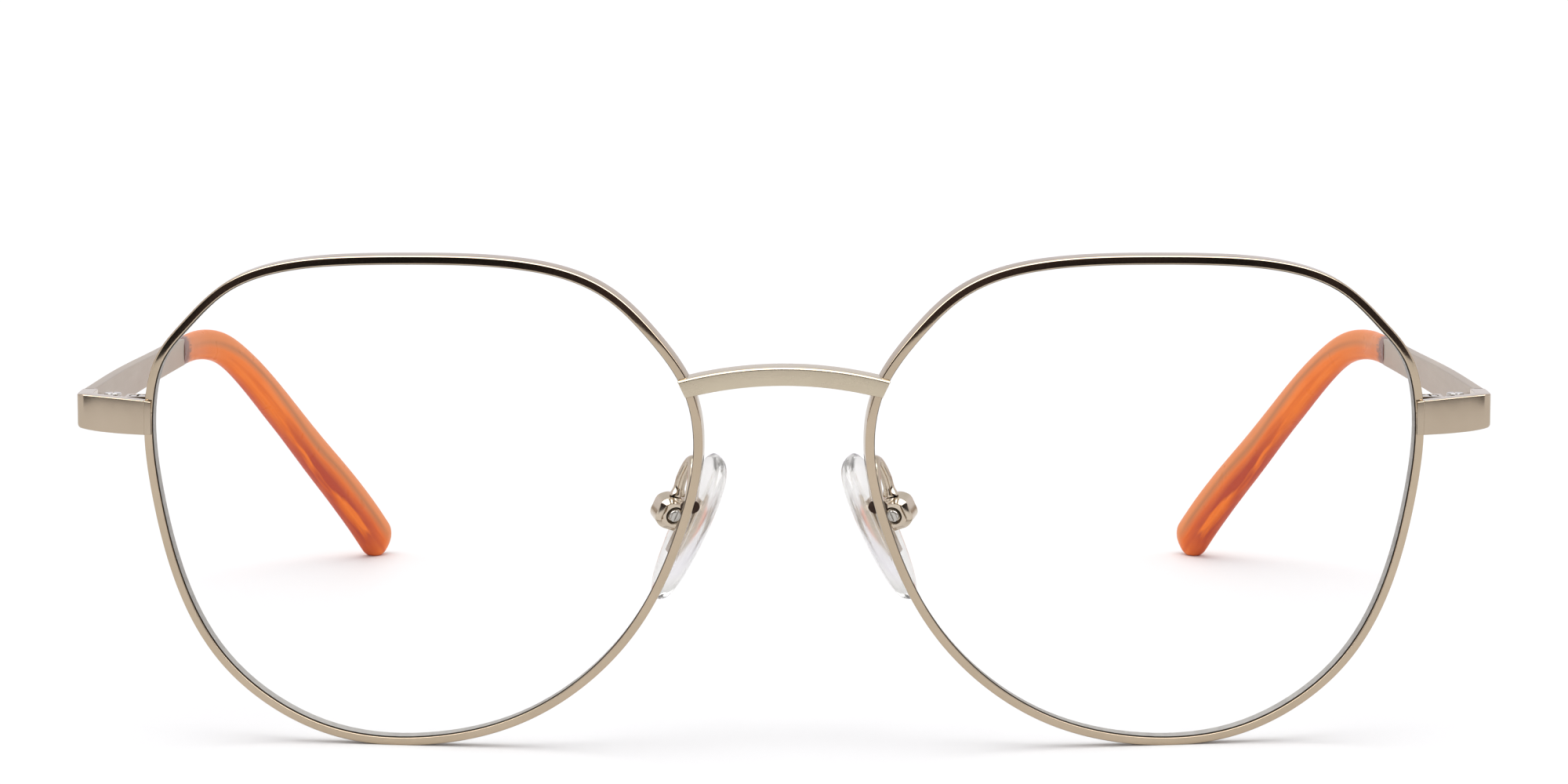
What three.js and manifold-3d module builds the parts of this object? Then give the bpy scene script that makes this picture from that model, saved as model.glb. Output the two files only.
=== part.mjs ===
// Wire eyeglasses with panto-shaped rims, saddle bridge, adjustable nose pads
// and folding temples with acetate tips.
//
// Millimetres. +Z is up, +X is the wearer's left, and the front faces -Y.
// The glasses stand on the bottoms of both rims and on both temple tips, with
// the temples open. The origin is on that surface, under the middle of the box.
//
// Every paired piece is made once, for the left (+X) side, and mirrored.

import * as THREE from 'three';
import { mergeVertices } from 'three/addons/utils/BufferGeometryUtils.js';
import Module from 'manifold-3d';

const wasm = await Module();
wasm.setup();

const radians = THREE.MathUtils.degToRad;
const vec = (x, y, z) => new THREE.Vector3(x, y, z);

// ---------------------------------------------------------------- dimensions

// Lens planes
const LENS_CENTRE_X = 35; // half the distance between the lens centres
const LENS_CENTRE_Z = 24.35;
const FACE_TILT = radians(6); // the top of the front leans forward
const FACE_WRAP = radians(7); // the outer end of each lens plane sits further back
const LENS_RADIUS = 150; // radius of the lens surface
const LENS_CROWN = 2.2; // how far the middle of the lens stands ahead of its plane

// Middle line of the rim wire: angle from the temporal side, radius
const RIM_OUTLINE = [
  [0, 26.3], [14, 27.8], [26, 29.0], [36, 28.6], [48, 28.0], [61, 26.3],
  [75, 24.6], [90, 24.0], [105, 24.8], [119, 26.5], [131, 27.8], [143, 28.2],
  [156, 28.55], [169, 27.5], [183, 25.65], [202, 24.2], [223, 23.5], [246, 23.4],
  [270, 23.9], [294, 25.2], [318, 25.9], [340, 25.7],
];
const RIM_WIDTH = 0.82;
const RIM_DEPTH = 1.8;
const GROOVE_DEPTH = 0.4;
const GROOVE_WIDTH = 0.95;
const RIM_STEPS = RIM_OUTLINE.length * 4;
const RIM_SPLIT = 1.22 / RIM_OUTLINE.length; // where the wire is parted, along the outline
const RIM_SPLIT_HALF = 0.001;

const LENS_THICKNESS = 1.2;
const LENS_STEPS = RIM_STEPS / 2;
const FIT_GAP = 0.12; // clearance between soldered neighbours

// Bridge
const BRIDGE_RISE = 13.2; // height of the arch above the lens centres
const BRIDGE_RADIUS = 38;
const BRIDGE_HEIGHT = 1.8;
const BRIDGE_DEPTH = 2.2;
const BRIDGE_FRONT = -4.1;
const BRIDGE_HALF_SPAN = 11.6;

// End pieces, rim locks and hinges
const END_PIECE_TOP = 34.38;
const HINGE_X = 66.0;
const HINGE_Y = 8.1;
const HINGE_BOTTOM = 30.75;
const KNUCKLE_HEIGHT = 0.86;
const KNUCKLE_GAP = 0.12;
const KNUCKLE_RADIUS = 1.05;
const HINGE_PIN_RADIUS = 0.45;
const PIN_CLEARANCE = 0.08;
const LEAF_FACE_X = 67.3; // the face that lies against the end piece and the temple
const LEAF_THICKNESS = 0.4;
const LEAF_ENDS_Y = [5.5, 11.6];
const LOCK_X = [61.8, 64.3];
const LOCK_Y = [3.95, 6.4];
const LOCK_Z = [30.95, 34.05];
const LOCK_SCREW_RADIUS = 0.5;

// Temples
const BLADE_THICKNESS = 1.1;
const CORE_THICKNESS = 0.7; // of the wire inside the tip
const CORE_CLEARANCE = 0.15;
const TEMPLE_ROUTE = [
  [68.3, 8.25, 32.68], [68.5, 34, 31.95], [68.35, 60, 31.05], [67.9, 80, 30.5],
  [67.3, 87, 30.35], [66.2, 91, 30.0], [64.8, 95, 28.85], [62.65, 101, 25.45],
  [59.75, 108.5, 19.95], [56.8, 115.5, 14.25], [54.1, 121, 9.45], [51.8, 125.4, 5.15],
  [50.4, 127.85, 2.3],
];
const SLEEVE_START_Y = 77.5;
const CORE_END = 0.954; // part of the route's length where the core wire stops
const CORE_STEPS = 16;
const TIP_END_LENGTH = 2.4; // of the rounded end, past the route

// Nose pads: middle of the pad, and the lean and splay of its face
const PAD_CENTRE = vec(9.6, 5.85, 21.05);
const PAD_UP = vec(-0.407, -0.12, 0.905).normalize();
const PAD_SPLAY = radians(20);
const PAD_LENGTH_UP = 7.8;
const PAD_LENGTH_DOWN = 7.9;
const PAD_HALF_WIDTH = 3.3;
const PAD_SCREW_X = 1.0; // the screw, above the pad's middle
const PAD_SCREW_Z = -2.15; // and behind its face
const PAD_PIN_RADIUS = 0.38;
const PAD_ARM_RADIUS = 0.5;
const PAD_ARM_ROOT = 13.82 / RIM_OUTLINE.length; // where it meets the rim, along the outline

// ----------------------------------------------------------- geometry helpers

function volumeOf(positions, faces) {
  const [a, b, c] = [new THREE.Vector3(), new THREE.Vector3(), new THREE.Vector3()];
  let volume = 0;
  for (const [i, j, k] of faces) {
    a.fromArray(positions, 3 * i);
    b.fromArray(positions, 3 * j);
    c.fromArray(positions, 3 * k);
    volume += a.dot(b.cross(c)) / 6;
  }
  return volume;
}

// A closed geometry whose faces point out, whichever way they were listed.
function closedGeometry(points, faces) {
  const positions = points.flatMap((p) => [p.x, p.y, p.z]);
  const outward = volumeOf(positions, faces) > 0;
  const geometry = new THREE.BufferGeometry();
  geometry.setAttribute('position', new THREE.Float32BufferAttribute(positions, 3));
  geometry.setIndex(faces.flatMap(([i, j, k]) => (outward ? [i, j, k] : [i, k, j])));
  return geometry;
}

const fan = (sides) => Array.from({ length: sides - 2 }, (_, i) => [0, i + 1, i + 2]);

function band(start, next, sides) {
  return Array.from({ length: sides }, (_, j) => {
    const k = (j + 1) % sides;
    return [[start + j, next + j, next + k], [start + j, next + k, start + k]];
  }).flat();
}

// Solid through a row of rings, each with the same number of points.
function loft(rings, cap = fan(rings[0].length)) {
  const sides = rings[0].length;
  const last = (rings.length - 1) * sides;
  const faces = rings.slice(1).flatMap((_, i) => band(i * sides, (i + 1) * sides, sides));
  cap.forEach(([i, j, k]) => faces.push([i, j, k], [last + i, last + k, last + j]));
  return closedGeometry(rings.flat(), faces);
}

// Solid through a row of rings that is closed by a point at each end.
function pointedLoft(start, rings, end) {
  const sides = rings[0].length;
  const points = [...rings.flat(), start, end];
  const [first, final] = [points.length - 2, points.length - 1];
  const last = (rings.length - 1) * sides;
  const faces = rings.slice(1).flatMap((_, i) => band(i * sides, (i + 1) * sides, sides));
  for (let j = 0; j < sides; j++) {
    const k = (j + 1) % sides;
    faces.push([first, j, k], [final, last + k, last + j]);
  }
  return closedGeometry(points, faces);
}

function solid(geometry) {
  const bare = geometry.clone();
  bare.deleteAttribute('normal');
  bare.deleteAttribute('uv');
  const merged = mergeVertices(bare, 1e-4);
  return new wasm.Manifold(new wasm.Mesh({
    numProp: 3,
    vertProperties: merged.attributes.position.array,
    triVerts: Uint32Array.from(merged.index.array),
  }));
}

function geometryOf(manifold) {
  const { vertProperties, triVerts } = manifold.getMesh();
  const geometry = new THREE.BufferGeometry();
  geometry.setAttribute('position', new THREE.BufferAttribute(vertProperties, 3));
  geometry.setIndex(new THREE.BufferAttribute(triVerts, 1));
  return geometry;
}

function cut(geometry, ...tools) {
  return geometryOf(tools.reduce((body, tool) => body.subtract(solid(tool)), solid(geometry)));
}

function join(...pieces) {
  return geometryOf(pieces.map(solid).reduce((body, piece) => body.add(piece)));
}

function mirrored(geometry) {
  const copy = geometry.clone();
  copy.scale(-1, 1, 1);
  const index = copy.index.array;
  for (let i = 0; i < index.length; i += 3) {
    [index[i + 1], index[i + 2]] = [index[i + 2], index[i + 1]];
  }
  return copy;
}

function box([x0, x1], [y0, y1], [z0, z1]) {
  const geometry = new THREE.BoxGeometry(x1 - x0, y1 - y0, z1 - z0);
  return geometry.translate((x0 + x1) / 2, (y0 + y1) / 2, (z0 + z1) / 2);
}

// Upright cylinder
function post(x, y, radius, [z0, z1], sides = 16) {
  const geometry = new THREE.CylinderGeometry(radius, radius, z1 - z0, sides);
  return geometry.rotateX(Math.PI / 2).translate(x, y, (z0 + z1) / 2);
}

// Cylinder along +Y
function peg(x, z, radius, [y0, y1], sides = 16) {
  const geometry = new THREE.CylinderGeometry(radius, radius, y1 - y0, sides);
  return geometry.translate(x, (y0 + y1) / 2, z);
}

// Rectangle with cut corners, as [across, up] points
function chamferedRectangle(halfAcross, halfUp, chamfer) {
  const [a, u] = [halfAcross - chamfer, halfUp - chamfer];
  return [
    [halfAcross, -u], [halfAcross, u], [a, halfUp], [-a, halfUp],
    [-halfAcross, u], [-halfAcross, -u], [-a, -halfUp], [a, -halfUp],
  ];
}

function roundedSection(halfAcross, halfUp, sides = 12, power = 0.8) {
  return Array.from({ length: sides }, (_, i) => {
    const angle = (2 * Math.PI * (i + 0.5)) / sides;
    const [c, s] = [Math.cos(angle), Math.sin(angle)];
    return [
      halfAcross * Math.sign(c) * Math.abs(c) ** power,
      halfUp * Math.sign(s) * Math.abs(s) ** power,
    ];
  });
}

// ------------------------------------------------------------- the lens plane

// A point of the front, from its place across, behind and above the lens centres.
function frontPoint(x, behind, above) {
  return vec(
    x,
    behind * Math.cos(FACE_TILT) - above * Math.sin(FACE_TILT),
    LENS_CENTRE_Z + above * Math.cos(FACE_TILT) + behind * Math.sin(FACE_TILT),
  );
}

const rimCurve = new THREE.CatmullRomCurve3(
  RIM_OUTLINE.map(([angle, radius]) => vec(
    radius * Math.cos(radians(angle)), radius * Math.sin(radians(angle)), 0)),
  true, 'catmullrom', 0.5,
);

// A point beside the outline: offset is outwards in the lens plane, depth is
// backwards, and scale shrinks the outline towards the lens centre.
function lensPoint(t, offset, depth, scale = 1) {
  const point = rimCurve.getPoint(t);
  const along = rimCurve.getTangent(t);
  const u = (point.x + along.y * offset) * scale;
  const v = (point.y - along.x * offset) * scale;
  const sag = LENS_RADIUS - Math.sqrt(LENS_RADIUS ** 2 - u * u - v * v);
  const w = depth + sag - LENS_CROWN;
  return frontPoint(
    LENS_CENTRE_X + u * Math.cos(FACE_WRAP) - w * Math.sin(FACE_WRAP),
    u * Math.sin(FACE_WRAP) + w * Math.cos(FACE_WRAP),
    v,
  );
}

// Disc-like solid that fills the outline: rows of [offset, depth, scale],
// listed from the front's middle to the back's.
function outlineSolid(rows, steps) {
  const ring = ([offset, depth, scale]) => Array.from(
    { length: steps }, (_, i) => lensPoint(i / steps, offset, depth, scale));
  const rings = rows.map(ring);
  const frontMiddle = lensPoint(0, rows[0][0], rows[0][1], 0);
  const backMiddle = lensPoint(0, rows.at(-1)[0], rows.at(-1)[1], 0);
  return pointedLoft(frontMiddle, rings, backMiddle);
}

const halfRim = RIM_WIDTH / 2;
const rimBack = RIM_DEPTH / 2;

// The space that the rim and its lens take up, with clearance, open to the back.
// Only a thin lap over the front of the wire is left outside it.
const rimClearance = outlineSolid([
  [-halfRim, -8, 1],
  [-halfRim, -rimBack - FIT_GAP, 1],
  [halfRim + FIT_GAP, -rimBack - FIT_GAP, 1],
  [halfRim + FIT_GAP, rimBack + FIT_GAP, 1],
  [-halfRim, rimBack + FIT_GAP, 1],
  [-halfRim, 8, 1],
], RIM_STEPS);

const floorCut = box([-100, 100], [-20, 150], [-5, 0]);

// ------------------------------------------------------------------- the front

function rim() {
  const section = [
    [halfRim, -rimBack], [halfRim, rimBack], [-halfRim, rimBack],
    [-halfRim, GROOVE_WIDTH / 2], [-halfRim + GROOVE_DEPTH, 0],
    [-halfRim, -GROOVE_WIDTH / 2], [-halfRim, -rimBack],
  ];
  const corners = section.map(([x, y]) => new THREE.Vector2(x, y));
  const firstStep = Math.ceil(RIM_SPLIT * RIM_STEPS);
  const stations = [RIM_SPLIT + RIM_SPLIT_HALF];
  for (let i = 0; i < RIM_STEPS; i++) stations.push((firstStep + i) / RIM_STEPS);
  stations.push(RIM_SPLIT - RIM_SPLIT_HALF + 1);
  const rings = stations.map((t) => section.map(([offset, depth]) => lensPoint(t % 1, offset, depth)));
  return cut(loft(rings, THREE.ShapeUtils.triangulateShape(corners, [])), floorCut);
}

function lens() {
  const half = LENS_THICKNESS / 2;
  const edge = -0.75; // start of the bevel
  const tip = -0.25; // ridge of the bevel, inside the rim's groove
  return outlineSolid([
    [edge, -half, 0.5], [edge, -half, 1], [tip, 0, 1], [edge, half, 1], [edge, half, 0.5],
  ], LENS_STEPS);
}

function bridge() {
  const rings = [];
  const steps = 14;
  for (let i = 0; i <= steps; i++) {
    const x = BRIDGE_HALF_SPAN * ((2 * i) / steps - 1);
    const drop = BRIDGE_RADIUS - Math.sqrt(BRIDGE_RADIUS ** 2 - x * x);
    const lean = x / BRIDGE_RADIUS;
    const corner = (up, behind) => frontPoint(
      x + up * lean, behind, BRIDGE_RISE - drop + up * Math.sqrt(1 - lean * lean));
    const [half, front, back] = [BRIDGE_HEIGHT / 2, BRIDGE_FRONT, BRIDGE_FRONT + BRIDGE_DEPTH];
    rings.push([corner(-half, front), corner(-half, back), corner(half, back), corner(half, front)]);
  }
  return cut(loft(rings), rimClearance, mirrored(rimClearance));
}

// Bent strip from the rim's front, round the corner, to the hinge.
// Rows: front face x and y, back face x and y, middle height, height.
function endPiece() {
  const outerHeight = 3.4;
  const outerMiddle = END_PIECE_TOP - outerHeight / 2;
  const rows = [
    [61.45, 1.25, 61.45, 2.7, 32.25, 3.3],
    [64.6, 2.15, 64.17, 3.5, 32.37, 3.5],
    [67.6, 3.05, 66.8, 4.3, 32.57, 3.5],
    [68.6, 3.55, 67.3, 4.75, outerMiddle, outerHeight],
    [69.0, 4.3, 67.45, 5.3, outerMiddle, outerHeight],
    [69.0, 8.0, 67.45, 8.0, outerMiddle, outerHeight],
  ];
  const rings = rows.map(([fx, fy, bx, by, middle, height]) => [
    vec(fx, fy, middle - height / 2), vec(bx, by, middle - height / 2),
    vec(bx, by, middle + height / 2), vec(fx, fy, middle + height / 2),
  ]);
  return cut(loft(rings), rimClearance);
}

// --------------------------------------------------------------- the rim locks

const lockScrew = { x: (LOCK_X[0] + LOCK_X[1]) / 2 + 0.1, y: (LOCK_Y[0] + LOCK_Y[1]) / 2 + 0.05 };
const LOCK_HEAD_RADIUS = 0.8;
const LOCK_HEAD_HEIGHT = 0.45;
const lockMiddle = (LOCK_Z[0] + LOCK_Z[1]) / 2;

function lockBlock(z) {
  const hole = post(lockScrew.x, lockScrew.y, LOCK_SCREW_RADIUS + PIN_CLEARANCE, [z[0] - 1, z[1] + 1]);
  const sink = post(
    lockScrew.x, lockScrew.y, LOCK_HEAD_RADIUS + PIN_CLEARANCE,
    [LOCK_Z[1] - LOCK_HEAD_HEIGHT, LOCK_Z[1] + 1]);
  return cut(box(LOCK_X, LOCK_Y, z), rimClearance, hole, sink);
}

const rimLockUpper = () => lockBlock([lockMiddle + 0.12, LOCK_Z[1]]);
const rimLockLower = () => lockBlock([LOCK_Z[0], lockMiddle - 0.12]);

// Slotted screw that stands upright
function uprightScrew(x, y, bottom, headBottom, headTop, radius, headRadius) {
  const profile = [
    [0, bottom], [radius * 0.7, bottom], [radius, bottom + 0.15], [radius, headBottom],
    [headRadius, headBottom], [headRadius, headTop - 0.1], [headRadius - 0.12, headTop],
    [0, headTop],
  ].map(([r, z]) => new THREE.Vector2(r, z));
  const turned = new THREE.LatheGeometry(profile, 16).rotateX(Math.PI / 2).translate(x, y, 0);
  const slot = box([x - 0.11, x + 0.11], [y - 2, y + 2], [headTop - 0.2, headTop + 1]);
  return cut(turned, slot);
}

function rimLockScrew() {
  return uprightScrew(
    lockScrew.x, lockScrew.y, LOCK_Z[0], LOCK_Z[1] - LOCK_HEAD_HEIGHT + 0.08, LOCK_Z[1] - 0.02,
    LOCK_SCREW_RADIUS, LOCK_HEAD_RADIUS);
}

// ------------------------------------------------------------------ the hinges

const knuckle = (level) => {
  const bottom = HINGE_BOTTOM + level * (KNUCKLE_HEIGHT + KNUCKLE_GAP);
  return [bottom, bottom + KNUCKLE_HEIGHT];
};
const hingeTop = knuckle(2)[1];
const pinHole = () => post(
  HINGE_X, HINGE_Y, HINGE_PIN_RADIUS + PIN_CLEARANCE, [HINGE_BOTTOM - 1, hingeTop + 1]);
const swingRadius = KNUCKLE_RADIUS + 0.15; // kept clear of the other leaf's knuckles

// How far the leaves stay from the hinge's axis, along Y
const leafReach = Math.sqrt(swingRadius ** 2 - (LEAF_FACE_X - LEAF_THICKNESS - HINGE_X) ** 2);

function knuckleWithWeb(level, y) {
  const z = knuckle(level);
  const web = box([HINGE_X, LEAF_FACE_X], y, z);
  return join(post(HINGE_X, HINGE_Y, KNUCKLE_RADIUS, z, 20), web);
}

// Two knuckles, fixed to the end piece
function hingeFrontLeaf() {
  const plate = box(
    [LEAF_FACE_X - LEAF_THICKNESS, LEAF_FACE_X], [LEAF_ENDS_Y[0], HINGE_Y - leafReach],
    [HINGE_BOTTOM, hingeTop]);
  const web = [HINGE_Y - KNUCKLE_RADIUS, HINGE_Y - 0.15];
  return cut(join(plate, knuckleWithWeb(0, web), knuckleWithWeb(2, web)), pinHole());
}

// One knuckle, fixed to the temple
function hingeTempleLeaf() {
  const plate = box(
    [LEAF_FACE_X - LEAF_THICKNESS, LEAF_FACE_X + 0.25], [HINGE_Y + leafReach, LEAF_ENDS_Y[1]],
    [HINGE_BOTTOM, hingeTop]);
  const web = [HINGE_Y + 0.15, HINGE_Y + KNUCKLE_RADIUS];
  return cut(join(plate, knuckleWithWeb(1, web)), pinHole());
}

function hingeScrew() {
  return uprightScrew(
    HINGE_X, HINGE_Y, HINGE_BOTTOM, hingeTop + 0.1, hingeTop + 0.42, HINGE_PIN_RADIUS, 0.85);
}

// ----------------------------------------------------------------- the temples

const templeCurve = new THREE.CatmullRomCurve3(
  TEMPLE_ROUTE.map(([x, y, z]) => vec(x, y, z)), false, 'catmullrom', 0.5);
templeCurve.arcLengthDivisions = 800;
const templeLength = templeCurve.getLength();

// Ring of [across, up] points round the route, at a part of its length
function templeRing(part, section) {
  const middle = templeCurve.getPointAt(part);
  const along = templeCurve.getTangentAt(part);
  const across = vec(0, 0, 1).cross(along).negate().normalize();
  const up = across.clone().cross(along);
  return section.map(([a, u]) => middle.clone().addScaledVector(across, a).addScaledVector(up, u));
}

const between = (from, to, part) => from + (to - from) * part;
const blend = THREE.MathUtils.smoothstep;

// The part of the route at which it passes a given distance behind the front
function partAt(y) {
  let [low, high] = [0, 1];
  for (let i = 0; i < 40; i++) {
    const middle = (low + high) / 2;
    if (templeCurve.getPointAt(middle).y < y) low = middle;
    else high = middle;
  }
  return low;
}
const sleeveStart = partAt(SLEEVE_START_Y);

const bladeSection = (part) => chamferedRectangle(
  BLADE_THICKNESS / 2,
  between(1.7, 1.5, blend(part / sleeveStart, 0.05, 0.9)),
  0.15,
);

const coreHalfHeight = (part) => between(0.85, 0.55, (part - sleeveStart) / (CORE_END - sleeveStart));
const coreSection = (part, extra = 0) => chamferedRectangle(
  CORE_THICKNESS / 2 + extra, coreHalfHeight(part) + extra, 0.15);

const parts = (from, to, steps) => Array.from(
  { length: steps + 1 }, (_, i) => between(from, to, i / steps));

function temple() {
  const front = templeRing(0, bladeSection(0)).map((p) => vec(p.x, TEMPLE_ROUTE[0][1], p.z));
  const blade = parts(0, sleeveStart, 8).slice(1).map((part) => templeRing(part, bladeSection(part)));
  const core = parts(sleeveStart, CORE_END, CORE_STEPS).map(
    (part) => templeRing(part, coreSection(part)));
  return loft([front, ...blade, ...core]);
}

function templeTip() {
  const start = sleeveStart + 0.15 / templeLength;
  const grow = (part) => (part - start) / (1 - start);
  const outer = (part) => {
    const swell = blend(grow(part), 0.05, 0.55);
    const paddle = blend(grow(part), 0.55, 0.95);
    return roundedSection(
      between(0.72, 1.35, swell) + 0.15 * paddle, between(1.55, 2.15, swell) + 0.36 * paddle);
  };
  const rings = parts(start, 1, 18).map((part) => templeRing(part, outer(part)));
  const end = templeCurve.getPointAt(1);
  const onward = templeCurve.getTangentAt(1);
  for (const turn of [20, 40, 58, 75]) {
    const shrink = Math.cos(radians(turn));
    const section = outer(1).map(([a, u]) => [a * shrink, u * shrink]);
    const forward = TIP_END_LENGTH * Math.sin(radians(turn));
    rings.push(templeRing(1, section).map((p) => p.addScaledVector(onward, forward)));
  }
  const middle = templeCurve.getPointAt(start);
  const body = pointedLoft(middle, rings, end.clone().addScaledVector(onward, TIP_END_LENGTH));
  const boreEnd = CORE_END + 0.3 / templeLength;
  const bore = loft(parts(sleeveStart - 0.01, boreEnd, CORE_STEPS).map(
    (part) => templeRing(part, coreSection(part, CORE_CLEARANCE))));
  return cut(body, bore, floorCut);
}

// --------------------------------------------------------------- the nose pads

// Axes of a pad: X up along the pad, Y backwards, Z towards the nose
const padFace = vec(-Math.cos(PAD_SPLAY), Math.sin(PAD_SPLAY), 0);
padFace.addScaledVector(PAD_UP, -padFace.dot(PAD_UP)).normalize();
const padBack = padFace.clone().cross(PAD_UP);
const padFrame = new THREE.Matrix4().makeBasis(PAD_UP, padBack, padFace).setPosition(PAD_CENTRE);
const padPoint = (x, y, z) => vec(x, y, z).applyMatrix4(padFrame);

function padRing(scale, z, sides = 20) {
  return roundedSection(1, 1, sides, 0.72).map(([x, y]) => {
    const reach = x > 0 ? PAD_LENGTH_UP : PAD_LENGTH_DOWN;
    const taper = 1 + 0.25 * Math.min(x, 0);
    return vec(x * reach * (1 - (1 - scale) * 0.5), y * PAD_HALF_WIDTH * scale * taper, z);
  });
}

function nosePad() {
  const rings = [padRing(0.8, -0.55), padRing(1, 0.15), padRing(0.93, 0.75), padRing(0.68, 1.25)];
  const body = pointedLoft(vec(0, 0, -0.6), rings, vec(0, 0, 1.55));
  const pocket = box([-3.4, 3.4], [-1.4, 1.4], [-0.2, 0.4]);
  const throat = box(
    [PAD_SCREW_X - 1.0, PAD_SCREW_X + 1.0], [-0.65, 0.65], [-2, 0]);
  return cut(body, pocket, throat).applyMatrix4(padFrame);
}

// Plate inside the pad, with the lug that the screw passes through
function padCore() {
  const plate = box([-3.3, 3.3], [-1.3, 1.3], [-0.1, 0.3]);
  const neck = box([PAD_SCREW_X - 0.7, PAD_SCREW_X + 0.7], [-0.5, 0.5], [PAD_SCREW_Z, 0]);
  const eye = peg(PAD_SCREW_X, PAD_SCREW_Z, 0.85, [-0.5, 0.5]);
  const hole = peg(PAD_SCREW_X, PAD_SCREW_Z, PAD_PIN_RADIUS + PIN_CLEARANCE, [-2, 2]);
  return cut(join(plate, neck, eye), hole).applyMatrix4(padFrame);
}

const PAD_BOX_HALF_LENGTH = 1.65;
const PAD_BOX_HALF_DEPTH = 1.2;
const PAD_BOX_OUTER = -4.1;
const PAD_BOX_ROUND = 1.4; // depth of the rounded outer end
const PAD_BOX_MOUTH = -1.25;
const PAD_HEAD_RADIUS = 0.62;

function padBox() {
  const [low, high] = [PAD_SCREW_X - PAD_BOX_HALF_LENGTH, PAD_SCREW_X + PAD_BOX_HALF_LENGTH];
  const shape = new THREE.Shape()
    .moveTo(low, PAD_BOX_MOUTH)
    .absellipse(
      PAD_SCREW_X, PAD_BOX_OUTER + PAD_BOX_ROUND, PAD_BOX_HALF_LENGTH, PAD_BOX_ROUND,
      Math.PI, 2 * Math.PI)
    .lineTo(high, PAD_BOX_MOUTH);
  const block = new THREE.ExtrudeGeometry(
    shape, { depth: 2 * PAD_BOX_HALF_DEPTH, bevelEnabled: false, curveSegments: 8 });
  block.rotateX(Math.PI / 2).translate(0, PAD_BOX_HALF_DEPTH, 0);
  const slot = box([PAD_SCREW_X - 1.25, PAD_SCREW_X + 1.25], [-0.65, 0.65], [-3.2, 0]);
  const hole = peg(PAD_SCREW_X, PAD_SCREW_Z, PAD_PIN_RADIUS + PIN_CLEARANCE, [-2, 2]);
  const sink = peg(
    PAD_SCREW_X, PAD_SCREW_Z, PAD_HEAD_RADIUS + PIN_CLEARANCE, [-2, -PAD_BOX_HALF_DEPTH + 0.25]);
  return cut(block, slot, hole, sink).applyMatrix4(padFrame);
}

function padScrew() {
  const head = -PAD_BOX_HALF_DEPTH + 0.2;
  const profile = [
    [0, PAD_BOX_HALF_DEPTH - 0.1], [PAD_PIN_RADIUS, PAD_BOX_HALF_DEPTH - 0.1],
    [PAD_PIN_RADIUS, head], [PAD_HEAD_RADIUS, head], [PAD_HEAD_RADIUS, head - 0.25],
    [PAD_HEAD_RADIUS - 0.15, head - 0.4], [0, head - 0.4],
  ].reverse().map(([r, y]) => new THREE.Vector2(r, y));
  const turned = new THREE.LatheGeometry(profile, 16).translate(PAD_SCREW_X, 0, PAD_SCREW_Z);
  const slot = box(
    [PAD_SCREW_X - 1, PAD_SCREW_X + 1], [head - 1, head - 0.22],
    [PAD_SCREW_Z - 0.09, PAD_SCREW_Z + 0.09]);
  return cut(turned, slot).applyMatrix4(padFrame);
}

// Wire from the back of the rim, up and over, down to the pad box
function padArm() {
  const root = lensPoint(PAD_ARM_ROOT, 0, rimBack + 2 * FIT_GAP);
  const end = padPoint(PAD_SCREW_X + PAD_BOX_HALF_LENGTH + 0.2, -0.1, PAD_SCREW_Z - 0.2);
  const route = new THREE.CatmullRomCurve3([
    root, vec(9.1, -0.4, 24.0), vec(8.8, 1.6, 25.9), vec(8.75, 3.0, 27.6),
    vec(9.1, 4.0, 27.8), end.clone().lerp(vec(9.1, 4.0, 27.8), 0.5).add(vec(0.15, 0.1, 0.2)), end,
  ], false, 'catmullrom', 0.5);
  const sides = 8;
  const steps = 18;
  const frames = route.computeFrenetFrames(steps, false);
  const rings = parts(0, 1, steps).map((part, i) => {
    const middle = route.getPointAt(part);
    return Array.from({ length: sides }, (_, j) => {
      const angle = (2 * Math.PI * j) / sides;
      return middle.clone()
        .addScaledVector(frames.normals[i], PAD_ARM_RADIUS * Math.cos(angle))
        .addScaledVector(frames.binormals[i], PAD_ARM_RADIUS * Math.sin(angle));
    });
  });
  return loft(rings);
}

// ---------------------------------------------------------------- the assembly

const finish = (color, roughness, metalness, opacity = 1) => () => new THREE.MeshStandardMaterial({
  color, roughness, metalness, opacity, transparent: opacity < 1,
});
const champagne = finish(0xb5a692, 0.22, 1);
const steel = finish(0x9a948c, 0.3, 1);
const clearLens = finish(0xf4f8f8, 0.02, 0, 0.2);
const silicone = finish(0xe8e6e0, 0.3, 0, 0.6);
const acetate = finish(0xe4753d, 0.15, 0);

const PAIRS = [
  ['rim', rim, champagne],
  ['lens', lens, clearLens],
  ['end_piece', endPiece, champagne],
  ['rim_lock_upper', rimLockUpper, champagne],
  ['rim_lock_lower', rimLockLower, champagne],
  ['rim_lock_screw', rimLockScrew, steel],
  ['hinge_front_leaf', hingeFrontLeaf, champagne],
  ['hinge_temple_leaf', hingeTempleLeaf, champagne],
  ['hinge_screw', hingeScrew, steel],
  ['temple', temple, champagne],
  ['temple_tip', templeTip, acetate],
  ['pad_arm', padArm, champagne],
  ['pad_box', padBox, champagne],
  ['pad_screw', padScrew, steel],
  ['pad_core', padCore, champagne],
  ['nose_pad', nosePad, silicone],
];

const glasses = new THREE.Group();

function add(name, geometry, material) {
  const mesh = new THREE.Mesh(geometry, material());
  mesh.name = name;
  glasses.add(mesh);
}

add('bridge', bridge(), champagne);
for (const [name, make, material] of PAIRS) {
  const left = make();
  add(`${name}_left`, left, material);
  add(`${name}_right`, mirrored(left), material);
}

// Put the origin under the middle of the whole box.
const extent = new THREE.Box3().setFromObject(glasses);
glasses.position.y = -(extent.min.y + extent.max.y) / 2;

export default glasses;
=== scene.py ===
import math

import bmesh
import bpy
from mathutils import Matrix, Vector

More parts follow.
